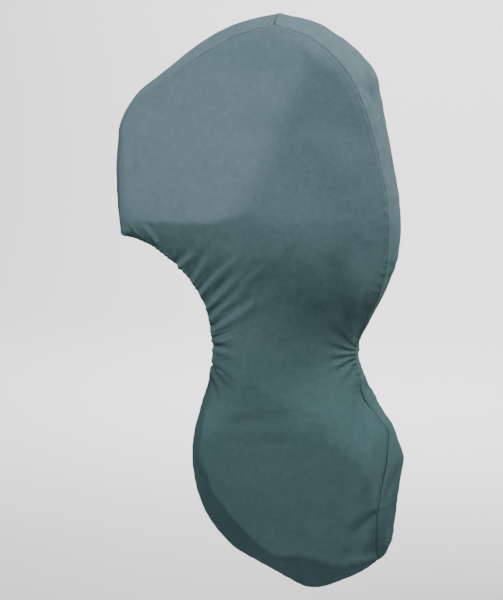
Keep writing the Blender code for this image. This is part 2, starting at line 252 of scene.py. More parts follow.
# %% Fold rows
Fold = namedtuple("Fold", "x0 z0 x1 z1 x2 z2 width0 width1 rise held", defaults=(False,))
PORT, STARBOARD = -1, 1
FOLDS = {}
FOLDS[PORT] = [Fold(*row) for row in (
    # opening's upper corner, where the hem turns the cloth under
    (-0.470, -0.664, -0.410, -0.690, -0.345, -0.722, 0.022, 0.018, -0.0130),
    (-0.402, -0.622, -0.373, -0.655, -0.347, -0.697, 0.009, 0.007, 0.0060),
    (-0.450, -0.630, -0.432, -0.650, -0.410, -0.680, 0.006, 0.006, -0.0022),
    (-0.428, -0.628, -0.405, -0.655, -0.383, -0.682, 0.006, 0.006, -0.0026),
    (-0.310, -0.728, -0.307, -0.705, -0.300, -0.676, 0.006, 0.006, 0.0022, True),
    (-0.291, -0.757, -0.268, -0.735, -0.236, -0.706, 0.009, 0.010, 0.0042, True),
    (-0.300, -0.745, -0.282, -0.716, -0.262, -0.690, 0.010, 0.012, -0.0036, True),
    # long folds that fan out from the hem
    (-0.276, -0.766, -0.231, -0.695, -0.185, -0.630, 0.008, 0.016, 0.0026, True),
    (-0.262, -0.785, -0.215, -0.715, -0.165, -0.640, 0.008, 0.015, -0.0024, True),
    (-0.251, -0.805, -0.200, -0.736, -0.140, -0.660, 0.008, 0.016, 0.0026, True),
    (-0.234, -0.825, -0.170, -0.755, -0.095, -0.690, 0.008, 0.015, -0.0026, True),
    (-0.226, -0.838, -0.143, -0.754, -0.050, -0.670, 0.009, 0.018, 0.0032, True),
    (-0.214, -0.862, -0.130, -0.785, -0.030, -0.715, 0.009, 0.018, -0.0028, True),
    (-0.207, -0.884, -0.104, -0.774, 0.000, -0.655, 0.010, 0.021, 0.0034, True),
    (-0.200, -0.903, -0.100, -0.822, 0.010, -0.740, 0.010, 0.020, -0.0026, True),
    (-0.199, -0.915, -0.074, -0.795, 0.050, -0.665, 0.010, 0.023, 0.0032, True),
    (-0.198, -0.940, -0.100, -0.865, 0.000, -0.800, 0.010, 0.021, -0.0030, True),
    (-0.198, -0.962, -0.088, -0.880, 0.020, -0.810, 0.010, 0.025, 0.0029, True),
    (-0.203, -0.998, -0.165, -0.999, -0.120, -1.004, 0.007, 0.011, -0.0040, True),
    (-0.202, -0.984, -0.160, -0.980, -0.100, -0.962, 0.007, 0.015, 0.0033, True),
    (-0.203, -1.014, -0.150, -1.022, -0.080, -1.030, 0.008, 0.016, 0.0026, True),
    (-0.207, -1.062, -0.178, -1.105, -0.140, -1.142, 0.008, 0.012, -0.0044, True),
    (-0.208, -1.088, -0.192, -1.118, -0.170, -1.150, 0.006, 0.008, 0.0033, True),
    (-0.204, -1.060, -0.150, -1.090, -0.085, -1.120, 0.007, 0.016, -0.0026, True),
    (-0.216, -1.112, -0.196, -1.150, -0.175, -1.185, 0.007, 0.011, -0.0030, True),
    # wide trough down to the waist, and the light bank aft of it
    (0.228, -1.005, 0.207, -0.850, 0.165, -0.655, 0.022, 0.046, -0.0100),
    (0.225, -0.980, 0.236, -0.880, 0.268, -0.760, 0.014, 0.030, -0.0040, True),
    (0.213, -0.633, 0.262, -0.660, 0.322, -0.690, 0.018, 0.026, 0.0014),
    (0.110, -0.900, 0.100, -0.800, 0.070, -0.690, 0.050, 0.050, 0.0022),
    # short folds that fan out from the waist
    (0.229, -1.006, 0.199, -0.955, 0.172, -0.880, 0.007, 0.016, 0.0027, True),
    (0.229, -1.012, 0.185, -0.975, 0.120, -0.915, 0.007, 0.018, -0.0030, True),
    (0.229, -1.018, 0.178, -0.998, 0.115, -0.950, 0.007, 0.018, 0.0024, True),
    (0.229, -1.024, 0.179, -1.013, 0.115, -0.985, 0.006, 0.018, -0.0033, True),
    (0.229, -1.031, 0.180, -1.028, 0.125, -1.018, 0.006, 0.016, 0.0022, True),
    (0.229, -1.038, 0.176, -1.047, 0.120, -1.058, 0.006, 0.016, -0.0030, True),
    (0.229, -1.044, 0.183, -1.062, 0.130, -1.090, 0.006, 0.016, 0.0022, True),
    (0.229, -1.050, 0.183, -1.080, 0.110, -1.135, 0.007, 0.023, -0.0033, True),
    (0.231, -1.058, 0.200, -1.092, 0.160, -1.150, 0.007, 0.020, 0.0024, True),
    (0.233, -1.066, 0.215, -1.100, 0.198, -1.160, 0.007, 0.020, -0.0027, True),
    # faint streaks below the broad crease
    (0.050, -0.665, 0.032, -0.780, 0.010, -0.905, 0.012, 0.014, -0.0013),
    (0.082, -0.670, 0.070, -0.790, 0.055, -0.920, 0.012, 0.014, 0.0012),
    (0.120, -0.665, 0.118, -0.760, 0.125, -0.880, 0.012, 0.012, -0.0013),
    (0.222, -0.985, 0.160, -0.900, 0.085, -0.800, 0.010, 0.020, 0.0014, True),
    # lower lobe
    (0.130, -1.140, 0.090, -1.190, 0.035, -1.250, 0.026, 0.032, -0.0025),
    (-0.200, -1.240, -0.075, -1.224, 0.080, -1.200, 0.020, 0.026, -0.0026),
    (-0.180, -1.268, -0.060, -1.258, 0.060, -1.246, 0.022, 0.026, 0.0015),
    (-0.090, -1.294, 0.000, -1.296, 0.110, -1.297, 0.013, 0.016, -0.0014),
    (0.243, -1.100, 0.245, -1.260, 0.212, -1.480, 0.024, 0.036, -0.0062),
    (0.275, -1.180, 0.277, -1.340, 0.240, -1.500, 0.020, 0.028, 0.0055),
    (0.312, -1.503, 0.271, -1.548, 0.212, -1.600, 0.017, 0.029, -0.0090),
    (0.190, -1.660, 0.250, -1.672, 0.330, -1.665, 0.022, 0.022, 0.0070),
    (0.052, -1.600, 0.050, -1.620, 0.049, -1.646, 0.007, 0.007, -0.0018),
    (0.084, -1.596, 0.083, -1.618, 0.080, -1.648, 0.008, 0.007, -0.0022),
    (0.112, -1.604, 0.113, -1.624, 0.113, -1.650, 0.007, 0.006, 0.0016),
    (0.138, -1.590, 0.140, -1.616, 0.141, -1.648, 0.008, 0.007, -0.0024),
    (0.172, -1.600, 0.175, -1.622, 0.180, -1.648, 0.007, 0.007, -0.0018),
    (0.206, -1.596, 0.210, -1.620, 0.216, -1.646, 0.009, 0.008, -0.0026),
    (0.208, -1.622, 0.222, -1.652, 0.240, -1.700, 0.010, 0.011, -0.0055),
    (-0.230, -1.330, -0.205, -1.420, -0.150, -1.520, 0.030, 0.030, 0.0020),
    (-0.140, -1.380, -0.060, -1.430, 0.060, -1.500, 0.060, 0.060, 0.0020),
    # cowl: slack in the broad facets
    (-0.445, -0.300, -0.440, -0.440, -0.436, -0.590, 0.012, 0.012, -0.0024),
    (-0.180, -0.120, -0.050, -0.170, 0.080, -0.190, 0.060, 0.060, -0.0040),
    (0.060, -0.330, 0.150, -0.420, 0.230, -0.560, 0.060, 0.070, 0.0040),
    (0.180, -0.572, 0.240, -0.592, 0.310, -0.604, 0.020, 0.026, -0.0008),
)]
FOLDS[STARBOARD] = [Fold(*row) for row in (
    (0.228, -1.005, 0.190, -0.860, 0.120, -0.670, 0.022, 0.055, -0.0150),
    (0.225, -0.980, 0.250, -0.860, 0.290, -0.720, 0.016, 0.034, -0.0070, True),
    (0.228, -1.050, 0.140, -1.095, 0.010, -1.140, 0.010, 0.036, -0.0095, True),
    (0.229, -1.020, 0.150, -1.000, 0.070, -0.960, 0.008, 0.024, -0.0060, True),
    (0.229, -1.035, 0.160, -1.042, 0.090, -1.050, 0.008, 0.022, 0.0050, True),
    (0.236, -1.070, 0.243, -1.160, 0.240, -1.290, 0.012, 0.036, -0.0085, True),
    (-0.192, -0.950, -0.070, -0.850, 0.060, -0.720, 0.012, 0.034, 0.0085, True),
    (-0.228, -0.840, -0.180, -0.760, -0.120, -0.665, 0.011, 0.026, 0.0075, True),
    (-0.209, -0.880, -0.120, -0.800, -0.040, -0.700, 0.011, 0.026, -0.0055, True),
    (-0.300, -0.748, -0.276, -0.700, -0.245, -0.645, 0.010, 0.022, -0.0065, True),
    (-0.205, -1.030, -0.130, -1.060, -0.050, -1.100, 0.010, 0.028, -0.0090, True),
    (-0.216, -1.100, -0.180, -1.140, -0.130, -1.180, 0.009, 0.020, -0.0060, True),
    (-0.060, -1.230, 0.030, -1.260, 0.130, -1.290, 0.036, 0.040, -0.0070),
    (0.120, -1.330, 0.150, -1.440, 0.165, -1.560, 0.040, 0.050, -0.0095),
    (-0.120, -1.360, -0.060, -1.450, 0.010, -1.540, 0.040, 0.045, 0.0080),
    (0.300, -1.530, 0.260, -1.560, 0.200, -1.600, 0.014, 0.024, -0.0090),
)]
print(len(FOLDS[PORT]), "and", len(FOLDS[STARBOARD]), "folds placed by hand")


# %% How a fold lifts the cloth
FOLD_REACH, FOLD_SHARP, BANK_HEIGHT, BANK_PLACE = 3, 1.6, 0.22, 1.7
HELD_FADES, FREE_FADES = (0.25, 1.0), (0.0, 0.3, 0.65, 1.0)


def bent_line(fold, stretches=10):
    """Places along a fold: a curve from its first place through its middle one to its last."""
    t = np.linspace(0, 1, stretches + 1)[:, None]
    first, middle, last = (np.array(fold[i:i + 2]) for i in (0, 2, 4))
    control = 2 * middle - 0.5 * (first + last)
    return first * (1 - t) ** 2 + control * 2 * t * (1 - t) + last * t**2


def nearest_on_line(line, x, z):
    """Distance from each place to a line of places, and the share along the line."""
    least, share = np.full_like(x, np.inf), np.zeros_like(x)
    for index, (start, end) in enumerate(zip(line[:-1], line[1:])):
        distance, along = nearest_on(start, end, x, z)
        closer = distance < least
        least = np.where(closer, distance, least)
        share = np.where(closer, (index + along) / (len(line) - 1), share)
    return least, share


def lift_of(fold, x, z):
    """How far one fold lifts each place: a soft crest with a shallow bank beside it."""
    line = bent_line(fold)
    reach = FOLD_REACH * max(fold.width0, fold.width1)
    low, high = line.min(axis=0) - reach, line.max(axis=0) + reach
    near = (x > low[0]) & (x < high[0]) & (z > low[1]) & (z < high[1])
    lift = np.zeros_like(x)
    distance, share = nearest_on_line(line, x[near], z[near])
    across = distance / (fold.width0 + (fold.width1 - fold.width0) * share)
    crest = np.exp(-FOLD_SHARP * across**2)
    bank = np.exp(-FOLD_SHARP * (across - BANK_PLACE) ** 2)
    strength = 1 - ease(*HELD_FADES, share) if fold.held else within(*FREE_FADES, share)
    lift[near] = fold.rise * (crest - BANK_HEIGHT * bank) * strength
    return lift


def folds_on(side, x, z):
    return sum(lift_of(fold, x, z) for fold in FOLDS[side])


print("deepest fold", min(fold.rise for fold in FOLDS[PORT]) * 1000, "mm")

# %% [markdown]
# ## Gathers and slack
# Elastic in the hem and at the waist bunches the cloth into small puckers. Close to the elastic
# they are fine, and a little further in they run together. Away from it, cloth that has been put
# away folded keeps a faint unevenness. Soft noise makes sure that no two puckers are alike.


# %% Soft noise and gathers
SEED_SHIFT, NOISE_SCALE = (17.31, 5.17, 9.73), 1.6
GATHER_STRETCHES, GATHER_ENDS = 90, (0.0, 0.04, 0.96, 1.0)
DRIFT_SIZE, DRIFT, DRIFT_INWARD = 0.045, 2.6, 0.4
PATCH_SIZE, PATCH_MIDDLE, PATCH_SWING, PATCH_LOW, PATCH_HIGH = 0.090, 0.65, 0.55, 0.1, 1.4
REACH_SIZE, REACH_SWING = 0.022, 0.45
CREST_SHARP, REACH_SHARP = 0.8, 1.5
Gather = namedtuple("Gather", "edge first last wave reach rise slant")


def soft_noise(places, size, seed):
    """Unevenness from about -1 to 1 at each place, size metres from one swell to the next."""
    shift = Vector([seed * step for step in SEED_SHIFT])
    return np.array([noise.noise(Vector(place) / size + shift) for place in places]) * NOISE_SCALE


def gathers(gather, x, z, seed):
    """Puckers at right angles to a stretch of an edge, that die away over reach from it."""
    ribs = np.linspace(gather.first, gather.last, GATHER_STRETCHES)
    line = edge_curve(gather.edge, ribs)[:, :2]
    total = norm(np.diff(line, axis=0), axis=1).sum()
    distance, share = nearest_on_line(line, x, z)
    near = distance < FOLD_REACH * gather.reach
    along, away = share[near] * total, distance[near]

    def uneven(across, row, size, step):
        return soft_noise(np.stack([along, across, np.full_like(along, row)], axis=1), size, seed + step)

    still = np.zeros_like(along)
    drift = uneven(away * DRIFT_INWARD, 0, DRIFT_SIZE, 0)
    patch = PATCH_MIDDLE + PATCH_SWING * uneven(still, 3, PATCH_SIZE, 1)
    reach = gather.reach * (1 + REACH_SWING * uneven(still, 7, REACH_SIZE, 2))
    phase = 2 * math.pi * (along + gather.slant * away) / gather.wave + DRIFT * drift
    crest = 0.5 - np.abs(np.sin(phase / 2)) ** CREST_SHARP
    sheen_and_fade = np.exp(-((away / reach) ** REACH_SHARP)) * within(*GATHER_ENDS, share[near])
    lift = np.zeros_like(x)
    lift[near] = 2 * gather.rise * crest * np.clip(patch, PATCH_LOW, PATCH_HIGH) * sheen_and_fade
    return lift


SEAM_RIDGE, RIDGE_SPAN = 0.0007, (0.0020, 0.0045, 0.0105, 0.0140)
SLACK = ((0.0016, 0.22), (0.0007, 0.075))
GATHERS = [Gather(*row) for row in (
    (FRONT_EDGE, 2.05, 3.92, 0.0125, 0.018, 0.0019, 0.25),
    (FRONT_EDGE, 2.35, 3.20, 0.0200, 0.042, 0.0022, 0.35),
    (FRONT_EDGE, 2.15, 3.00, 0.0310, 0.130, 0.0014, 0.50),
    (FRONT_EDGE, 2.30, 3.00, 0.0230, 0.220, 0.0007, 0.55),
    (AFT_EDGE, 2.60, 3.50, 0.0300, 0.120, 0.0012, 0.10),
    (AFT_EDGE, 2.72, 3.28, 0.0110, 0.016, 0.0014, 0.00),
    (FRONT_EDGE, 0.03, 2.00, 0.0350, 0.012, 0.0008, 0.00),
    (AFT_EDGE, 0.03, 2.80, 0.0320, 0.014, 0.0010, 0.00),
    (AFT_EDGE, 3.20, 5.90, 0.0300, 0.014, 0.0010, 0.00),
)]


def over_seam(distance):
    """How far the folded allowance inside a seam or a hem lifts the cloth beside it."""
    return SEAM_RIDGE * within(*RIDGE_SPAN, distance)


def slack(places, seed):
    """The faint unevenness of cloth that has been folded and put away."""
    return sum(rise * soft_noise(places, size, seed + 4 * turn) for turn, (rise, size) in enumerate(SLACK))


print(len(GATHERS), "gathered stretches")

# %% [markdown]
# ## From a grid of places to a sewn sheet
# A sheet starts as rows and columns of places. A sewn edge is then turned under: the cloth goes
# round a small bend and back inside, which gives a seam its soft groove and a hem its round lip.
# The turned strip is a few more columns or rows of the same cloth.

# %% Turned edges
SEAM_BEND, SEAM_ANGLE, CROSS_ANGLE, SEAM_TAIL, SEAM_GAP = 0.0026, 1.60, 1.52, 0.009, 0.0004
HEM_BEND, HEM_ANGLE, HEM_TAIL = 0.0036, 3.0, 0.016
BEND_STEPS, TAIL_STEPS, DRAWN_COLUMNS = 6, 2, 40
DRAWN_REACH, NEAR_EDGE, NEAR_SHARE, TIP_SHARE, TIP_COLUMNS = 2.5, 0.014, 0.4, 0.12, 6


def tapered(share):
    """Turned edges are narrower towards a corner, so that two of them don't crowd each other."""
    return TIP_SHARE + (1 - TIP_SHARE) * share


def far_along(places, axis):
    """How far it is to each place along its row or column."""
    steps = np.diff(places, axis=axis, prepend=np.take(places, [0], axis=axis))
    return np.cumsum(norm(steps, axis=-1), axis=axis)


def unit(vectors):
    return vectors / np.maximum(norm(vectors, axis=-1, keepdims=True), 1e-9)


def outward_normals(grid, towards):
    """Normals of a grid of places, all turned to the side that towards gives."""
    down = np.gradient(grid, axis=0)
    across = np.gradient(grid, axis=1)
    normals = unit(np.cross(down, across))
    flip = np.sign((normals * towards).sum(axis=-1).mean())
    return normals * flip


def evened(values, times):
    """Rows averaged with their neighbours, so that a turned edge doesn't jump from row to row."""
    for _ in range(times):
        values[1:-1] = (values[:-2] + 2 * values[1:-1] + values[2:]) / 4
    return values


def turned_columns(grid, normals, bend, angle, tail):
    """A grid drawn back from its first column, with columns that carry it round and under."""
    bend, angle, tail = (np.broadcast_to(v, len(grid))[:, None] for v in (bend, angle, tail))
    edge = grid[:, 0]
    run = unit(evened(np.gradient(edge, axis=0), 2))
    away = norm(grid - edge[:, None], axis=2)
    beside = away > np.minimum(NEAR_EDGE, NEAR_SHARE * away.max(axis=1))[:, None]
    near = np.arange(len(grid)), np.argmax(beside, axis=1)
    up = unit(evened(np.cross(run, unit(grid[near] - edge)), 4))
    up *= np.sign((up * normals[near]).sum())
    inward = unit(np.cross(run, up))
    inward *= np.sign((inward * (grid[near] - edge)).sum())
    grid = grid.copy()
    draw = bend + SEAM_GAP
    for column in range(DRAWN_COLUMNS):
        depth = np.maximum(((grid[:, column] - edge) * inward).sum(axis=1, keepdims=True), 0)
        share = np.exp(-depth / (DRAWN_REACH * draw)) * (1 - column / DRAWN_COLUMNS)
        grid[:, column] += inward * draw * share
    edge = grid[:, 0]
    columns = []
    for step in range(1, BEND_STEPS + 1):
        turn = angle * step / BEND_STEPS
        columns.append(edge - up * bend * (1 - np.cos(turn)) - inward * bend * np.sin(turn))
    onward = -inward * np.cos(angle) - up * np.sin(angle)
    for step in range(1, TAIL_STEPS + 1):
        columns.append(columns[BEND_STEPS - 1] + onward * tail * step / TAIL_STEPS)
    return np.concatenate([np.stack(columns[::-1], axis=1), grid], axis=1)


def turn_under(grid, normals, sides):
    """A grid with its front, back, top or bottom edges turned under, the long ones first."""
    added = BEND_STEPS + TAIL_STEPS
    for side, (bend, angle, tail) in sides.items():
        if side in ("top", "bottom"):
            corner = np.arange(grid.shape[1])
            corner = np.minimum(corner, corner[::-1]) - added * ("front" in sides)
            corner = tapered(ease(0, TIP_COLUMNS, corner))
            grid, normals = grid.swapaxes(0, 1), normals.swapaxes(0, 1)
            bend, tail = bend * corner, tail * corner
        if side in ("back", "bottom"):
            grid, normals = grid[:, ::-1], normals[:, ::-1]
        grid = turned_columns(grid, normals, bend, angle, tail)
        normals = np.concatenate([np.repeat(normals[:, :1], added, axis=1), normals], axis=1)
        if side in ("back", "bottom"):
            grid, normals = grid[:, ::-1], normals[:, ::-1]
        if side in ("top", "bottom"):
            grid, normals = grid.swapaxes(0, 1), normals.swapaxes(0, 1)
    return grid, normals


print("a hem's lip is", round(2 * HEM_BEND * 1000, 1), "mm high")

# %% A sheet as a mesh
CLOTH = 0.0009


def in_scene(name, data):
    """An object in the scene that shows a mesh, a lamp or a camera."""
    made = bpy.data.objects.new(name, data)
    bpy.context.scene.collection.objects.link(made)
    return made


def sheet_mesh(name, grid, normals):
    """A grid of places as an object of quads, with a UV map in metres along the threads."""
    rows, columns = grid.shape[:2]
    index = np.arange(rows * columns).reshape(rows, columns)
    quads = np.stack([index[:-1, :-1], index[1:, :-1], index[1:, 1:], index[:-1, 1:]], axis=-1).reshape(-1, 4)
    row, column = rows // 2, columns // 2
    down, right = grid[row + 1, column] - grid[row, column], grid[row, column + 1] - grid[row, column]
    if np.cross(down, right) @ normals[row, column] < 0:
        quads = quads[:, ::-1]
    mesh = bpy.data.meshes.new(name)
    mesh.from_pydata(grid.reshape(-1, 3).tolist(), [], quads.tolist())
    weft, warp = far_along(grid, 1), far_along(grid, 0)[:, column]
    threads = np.stack([weft - weft[:, column][:, None], np.repeat(warp[:, None], columns, axis=1)], axis=-1)
    corners = np.empty(len(mesh.loops), int)
    mesh.loops.foreach_get("vertex_index", corners)
    mesh.uv_layers.new(name="threads").data.foreach_set("uv", threads.reshape(-1, 2)[corners].ravel())
    piece = in_scene(name, mesh)
    shell = piece.modifiers.new("Cloth", "SOLIDIFY")
    shell.thickness, shell.offset = CLOTH, -1
    bpy.ops.object.select_all(action="DESELECT")
    piece.select_set(True)
    bpy.context.view_layer.objects.active = piece
    bpy.ops.object.modifier_apply(modifier=shell.name)
    piece.data.shade_smooth()
    print(name, len(piece.data.polygons) * 2, "triangles")
    return piece


def cut_area(grid):
    """The area of a grid of places, for the flat size of its cut."""
    a, b, c, d = grid[:-1, :-1], grid[1:, :-1], grid[1:, 1:], grid[:-1, 1:]
    halves = [norm(np.cross(q - p, r - p), axis=-1).sum() / 2 for p, q, r in ((a, b, c), (a, c, d))]
    return float(sum(halves))


print("cloth", CLOTH * 1000, "mm thick")

# %% [markdown]
# ## The two side panels
# A panel's ribs are spaced closely where the hem and the waist gather it, and its columns crowd
# towards its edges, because that is where small folds are. The taut shape comes first, and then
# the folds push it in and out along its own normals.

# %% Ribs and columns
PANEL_COLUMNS, BAND_COLUMNS, CROWDING = 112, 48, 0.75
SPANS = ((0, 1, 40), (1, 1.8, 22), (1.8, 2, 18), (2, 3, 116), (3, 4, 70), (4, 5, 28), (5, 6, 34), (6, 7, 24))


def ribs_between(first, last, share=1.0):
    """Ribs from first to last, as close together as the spans above say, times share."""
    ribs = []
    for start, end, count in SPANS:
        low, high = max(start, first), min(end, last)
        if high > low:
            steps = max(2, round(count * share * (high - low) / (end - start)))
            ribs += list(np.linspace(low, high, steps, endpoint=False))
    return np.array(ribs + [last])


def crowded(count):
    """Places from 0 to 1 that crowd towards both ends."""
    even = np.linspace(0, 1, count + 1)
    return (1 - CROWDING) * even + CROWDING * (0.5 - 0.5 * np.cos(math.pi * even))


panel_ribs = ribs_between(PANEL_FIRST_RIB, LAST_RIB)
print(len(panel_ribs), "ribs by", PANEL_COLUMNS, "columns")


# %% Bend a panel to its shape
SEEDS, SEED_STEP, CALM_WIDTH = {PORT: 3, STARBOARD: 11}, 20, 0.030
# ribs where the wide turn of the hem comes in and goes out, and where a panel's tips are
HEM_TURN, TIPS = (1.96, 2.04, 3.90, 4.02), (0.03, 0.22, 6.75, 7.0)


def panel_places(side):
    """Places on a panel, rib by rib, with its folds, gathers and slack."""
    front, aft = edge_curve(FRONT_EDGE, panel_ribs), edge_curve(AFT_EDGE, panel_ribs)
    across = crowded(PANEL_COLUMNS)[None, :, None]
    flat = front[:, None, :2] * (1 - across) + aft[:, None, :2] * across
    x, z = flat[..., 0].ravel(), flat[..., 1].ravel()
    taut = np.stack([x, side * half_width(x, z), z], axis=1).reshape(*flat.shape[:2], 3)
    normals = outward_normals(taut, (0, side, 0))
    lift = folds_on(side, x, z)
    for number, gather in enumerate(GATHERS):
        lift += gathers(gather, x, z, SEEDS[side] + SEED_STEP * number)
    lift += slack(taut.reshape(-1, 3), SEEDS[side])
    for rows in (FRONT_EDGE, AFT_EDGE):
        line = edge_curve(rows, np.linspace(0, LAST_RIB, EDGE_STRETCHES + 1))[:, :2]
        lift += over_seam(nearest_on_line(line, x, z)[0])
    keel = np.minimum(1, half_width(x, z) / CALM_WIDTH)
    return taut + normals * (lift * keel).reshape(len(taut), -1, 1)


def panel_turns():
    """Bend, angle and tail of a panel's two edges: the hem is a stretch of the front one."""
    hem = within(*HEM_TURN, panel_ribs)
    tips = tapered(within(*TIPS, panel_ribs))
    bend = (SEAM_BEND + (HEM_BEND - SEAM_BEND) * hem) * tips
    angle = SEAM_ANGLE + (HEM_ANGLE - SEAM_ANGLE) * hem
    tail = (SEAM_TAIL + (HEM_TAIL - SEAM_TAIL) * hem) * tips
    return (bend, angle, tail), (SEAM_BEND * tips, SEAM_ANGLE, SEAM_TAIL * tips)


def side_panel(name, side):
    places = panel_places(side)
    normals = outward_normals(places, (0, side, 0))
    front, back = panel_turns()
    grid, normals = turn_under(places, normals, {"front": front, "back": back})
    # at the keel the two turned edges lie flat against each other
    grid[..., 1] = side * np.maximum(side * grid[..., 1], KEEL_HALF)
    return sheet_mesh(name, grid, normals), grid


port, port_grid = side_panel("port_panel_cloth", PORT)
starboard, starboard_grid = side_panel("starboard_panel_cloth", STARBOARD)
panel_area = cut_area(port_grid)
print("each panel is cut from", round(panel_area, 3), "square metres")

# %% [markdown]
# ## The gusset bands
# A band bridges the two panels and bulges a little past them. Both its long edges follow the
# panels' edges, so the same curve gives both, and a seam can't come apart.


# %% Bend a band to its shape
TAIL_TUCK, TUCK_RIBS, RUN_RIBS, BULGE_POWER, BAND_RIBS = 0.0040, 0.12, 0.1, 2.2, 1.1
CROWN_EASES, BAND_FADES = (0.0, 0.25), (0.0, 0.25, 0.6, 1.0)
BAND_ACROSS = 2 * crowded(BAND_COLUMNS) - 1


def band_places(edge, ribs):
    """Places on a band, rib by rib, from seam to seam, before its folds."""
    seam = edge_curve(edge, ribs)
    ahead = edge_curve(edge, np.minimum(ribs + RUN_RIBS, ribs[-1]))
    run = ahead - edge_curve(edge, np.maximum(ribs - RUN_RIBS, ribs[0]))
    turn = 1 if edge is AFT_EDGE else -1
    outward = turn * np.stack([-run[:, 1], run[:, 0]], axis=1)
    past_crown = ease(*CROWN_EASES, ribs)[:, None]
    outward = unit(unit(outward) * past_crown + np.array([0, 1]) * (1 - past_crown))
    half = half_width(seam[:, 0], seam[:, 1]) - SEAM_BEND
    tuck = TAIL_TUCK * ease(TAIL_RIB - TUCK_RIBS, TAIL_RIB, ribs)[:, None]
    bulge = seam[:, 4:5] * (1 - np.abs(BAND_ACROSS) ** BULGE_POWER) - tuck
    x, z = (seam[:, axis:axis + 1] + outward[:, axis:axis + 1] * bulge for axis in (0, 1))
    return np.stack([x, half[:, None] * BAND_ACROSS, z], axis=-1)


BandFold = namedtuple("BandFold", "rib0 across0 rib1 across1 width rise")
BAND_FOLDS = {}
BAND_FOLDS["forward_band_cloth"] = [BandFold(*row) for row in (
    (0.45, 0.30, 0.85, -0.40, 0.034, -0.0051),
    (1.20, -0.60, 1.75, 0.10, 0.030, -0.0058),
)]
BAND_FOLDS["aft_band_cloth"] = [BandFold(*row) for row in (
    (0.30, 0.30, 0.62, -0.30, 0.040, -0.0051),
    (0.78, -0.52, 1.12, -0.66, 0.015, -0.0087),
    (0.92, -0.82, 1.32, -0.84, 0.012, 0.0043),
    (1.45, -0.20, 1.95, -0.70, 0.026, -0.0051),
    (2.20, -0.60, 2.85, -0.10, 0.016, -0.0058),
    (2.45, 0.60, 2.90, 0.10, 0.016, -0.0058),
)]
BAND_FOLDS["lower_band_cloth"] = [BandFold(*row) for row in (
    (3.62, -0.85, 4.20, 0.20, 0.009, -0.0052),
    (3.40, 0.70, 4.10, -0.30, 0.012, -0.0043),
    (4.62, -0.10, 5.22, -0.92, 0.014, -0.0116),
    (4.45, -0.35, 5.00, -0.95, 0.014, 0.0065),
    (5.10, -0.35, 5.80, -0.60, 0.024, -0.0072),
    (4.75, 0.60, 5.50, 0.10, 0.024, -0.0087),
)]


def band_lift(name, ribs, places):
    """How far the folds of one band lift it: each runs straight between two places on it."""
    lift = np.zeros(places.shape[:2])
    for fold in BAND_FOLDS[name]:
        ends = [(np.abs(ribs - rib).argmin(), np.abs(BAND_ACROSS - across).argmin())
                for rib, across in ((fold.rib0, fold.across0), (fold.rib1, fold.across1))]
        start, run = places[ends[0]], places[ends[1]] - places[ends[0]]
        share = np.clip(((places - start) @ run) / (run @ run), 0, 1)
        distance = norm(places - start - share[..., None] * run, axis=2)
        lift += fold.rise * np.exp(-FOLD_SHARP * (distance / fold.width) ** 2) * within(*BAND_FADES, share)
    return lift


def band(name, edge, first, last, ends, seed):
    """One band as a sheet, and the area of its cut."""
    ribs = ribs_between(first, last, BAND_RIBS)
    places = band_places(edge, ribs)
    towards = (1, 0, 0.3) if edge is AFT_EDGE else (-1, 0, 0.3)
    normals = outward_normals(places, towards)
    lift = slack(places.reshape(-1, 3), seed).reshape(places.shape[:2])
    insets = [norm(places - places[:, end:end + 1], axis=2) for end in (0, BAND_COLUMNS)]
    lift += over_seam(np.minimum(*insets)) + band_lift(name, ribs, places)
    places = places + normals * lift[..., None]
    sides = {"front": SEAM, "back": SEAM, **ends}
    grid, normals = turn_under(places, outward_normals(places, towards), sides)
    return sheet_mesh(name, grid, normals), cut_area(grid)


SEAM = (SEAM_BEND, SEAM_ANGLE, SEAM_TAIL)
CROSS_SEAM = (SEAM_BEND, CROSS_ANGLE, SEAM_TAIL)
HEM = (HEM_BEND, HEM_ANGLE, HEM_TAIL)
(forward, forward_area), (aft, aft_area), (lower, lower_area) = (band(*row) for row in (
    ("forward_band_cloth", FRONT_EDGE, 0, OPENING_RIB, {"top": CROSS_SEAM, "bottom": HEM}, 23),
    ("aft_band_cloth", AFT_EDGE, 0, WAIST_RIB, {"top": CROSS_SEAM, "bottom": CROSS_SEAM}, 29),
    ("lower_band_cloth", AFT_EDGE, WAIST_RIB, TAIL_RIB, {"top": CROSS_SEAM}, 31),
))
print("bands are", [round(area, 3) for area in (forward_area, aft_area, lower_area)], "square metres")

# %% [markdown]
# ## Stitching
# A row of lockstitch holds down the allowance beside every seam, and another holds the hem. A
# stitch is a short bead of thread whose ends dip into the cloth, and each keeps its distance from
# the edge of the panel.

# %% Rows of stitches
STITCH, PITCH, THREAD, SIDES = 0.0036, 0.0048, 0.00042, 6
SEAM_INSET, HEM_INSET = 0.0072, 0.0135
# how far along half a stitch each ring is, and how thick the thread is there
BEAD = ((-1, 0.35), (-0.72, 0.85), (0, 1.0), (0.72, 0.85), (1, 0.35))
THREAD_LIFT, THREAD_DIP = 0.55, 0.9
EDGE_COLUMNS, SKIRT = 30, (4, 12)
SEWN_RIBS, HEM_SEWN = (0.1, 6.8), (1.97, 2.03, 3.92, 4.0)


def stitch_line(grid, edge_column, inwards, insets, towards):
    """Places and normals on a panel, row by row, at each row's own distance from its edge."""
    columns = edge_column + inwards * np.arange(EDGE_COLUMNS)
    near = grid[:, columns]
    line = np.array([[np.interp(inset, far, row[:, axis]) for axis in range(3)]
                     for far, row, inset in zip(far_along(near, 1), near, insets)])
    across = unit(near[:, SKIRT[1]] - near[:, SKIRT[0]])
    normals = unit(np.cross(np.gradient(line, axis=0), across))
    return line, normals * np.sign((normals * towards).sum(axis=1).mean())


